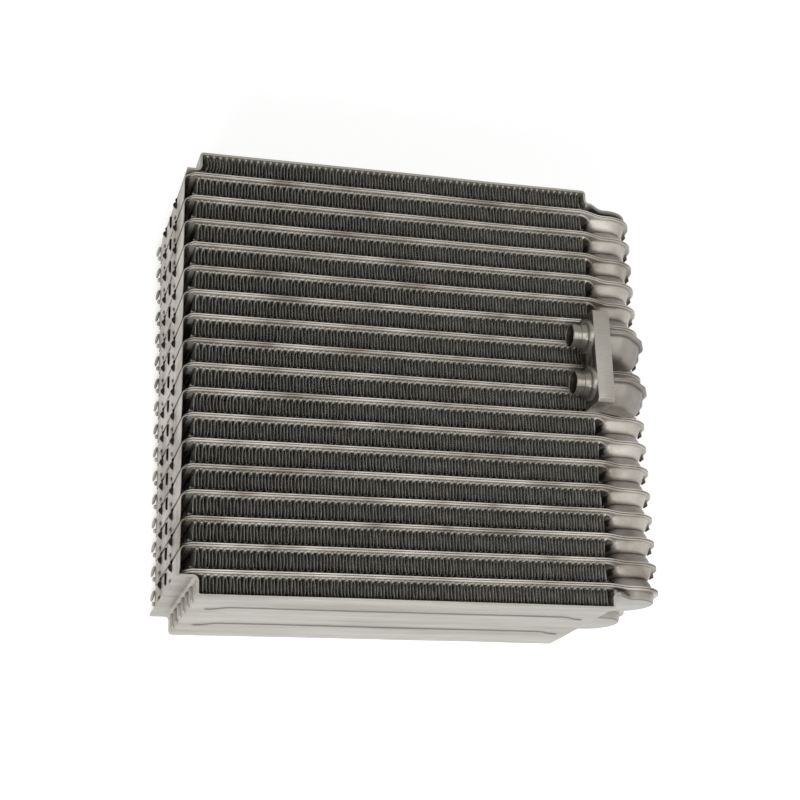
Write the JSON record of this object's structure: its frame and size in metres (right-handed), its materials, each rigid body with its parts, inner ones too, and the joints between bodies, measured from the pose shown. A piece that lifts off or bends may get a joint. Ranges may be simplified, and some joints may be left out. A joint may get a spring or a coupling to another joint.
{
  "type": "evaporator core",
  "caption": "Stacked flat-tube evaporator core with corrugated fins between pressed plates, a side tank of stacked cups, end covers and a two-spigot connector block.",
  "frame": {"origin": "Bottom centre of the bounding box, on the rear air face that the core lies on.", "axes": "+X runs along the tubes from the folded tabs to the tank, +Y up the stack of tubes, +Z out of the front air face, where the connector block is."},
  "size_m": [0.2504, 0.2304, 0.1098],
  "materials": {
    "tube_plate": "brazed satin, with a grey bloom and worn bright edges",
    "fin": "thin coated sheet, dark and half matt",
    "end_plate": "brushed rolled sheet, satin",
    "block": "sawn and milled, satin, with turned bright spigots",
    "duct": "pressed and brazed sheet, smooth satin"
  },
  "bodies": {
    "root": {"tube_01_lower_plate": "tube_plate", "tube_01_upper_plate": "tube_plate", "tube_02_lower_plate": "tube_plate", "tube_02_upper_plate": "tube_plate", "tube_03_lower_plate": "tube_plate", "tube_03_upper_plate": "tube_plate", "tube_04_lower_plate": "tube_plate", "tube_04_upper_plate": "tube_plate", "tube_05_lower_plate": "tube_plate", "tube_05_upper_plate": "tube_plate", "tube_06_lower_plate": "tube_plate", "tube_06_upper_plate": "tube_plate", "tube_07_lower_plate": "tube_plate", "tube_07_upper_plate": "tube_plate", "tube_08_lower_plate": "tube_plate", "tube_08_upper_plate": "tube_plate", "tube_09_lower_plate": "tube_plate", "tube_09_upper_plate": "tube_plate", "tube_10_lower_plate": "tube_plate", "tube_10_upper_plate": "tube_plate", "tube_11_lower_plate": "tube_plate", "tube_11_upper_plate": "tube_plate", "tube_12_lower_plate": "tube_plate", "tube_12_upper_plate": "tube_plate", "tube_13_lower_plate": "tube_plate", "tube_13_upper_plate": "tube_plate", "tube_14_lower_plate": "tube_plate", "tube_14_upper_plate": "tube_plate", "tube_15_lower_plate": "tube_plate", "tube_15_upper_plate": "tube_plate", "tube_16_lower_plate": "tube_plate", "tube_16_upper_plate": "tube_plate", "tube_17_lower_plate": "tube_plate", "tube_17_upper_plate": "tube_plate", "fin_01": "fin", "fin_02": "fin", "fin_03": "fin", "fin_04": "fin", "fin_05": "fin", "fin_06": "fin", "fin_07": "fin", "fin_08": "fin", "fin_09": "fin", "fin_10": "fin", "fin_11": "fin", "fin_12": "fin", "fin_13": "fin", "fin_14": "fin", "fin_15": "fin", "fin_16": "fin", "fin_17": "fin", "fin_18": "fin", "bottom_end_plate": "end_plate", "top_end_plate": "end_plate", "connector_block": "block", "outlet_duct": "duct", "inlet_duct": "duct"}
  },
  "joints": []
}
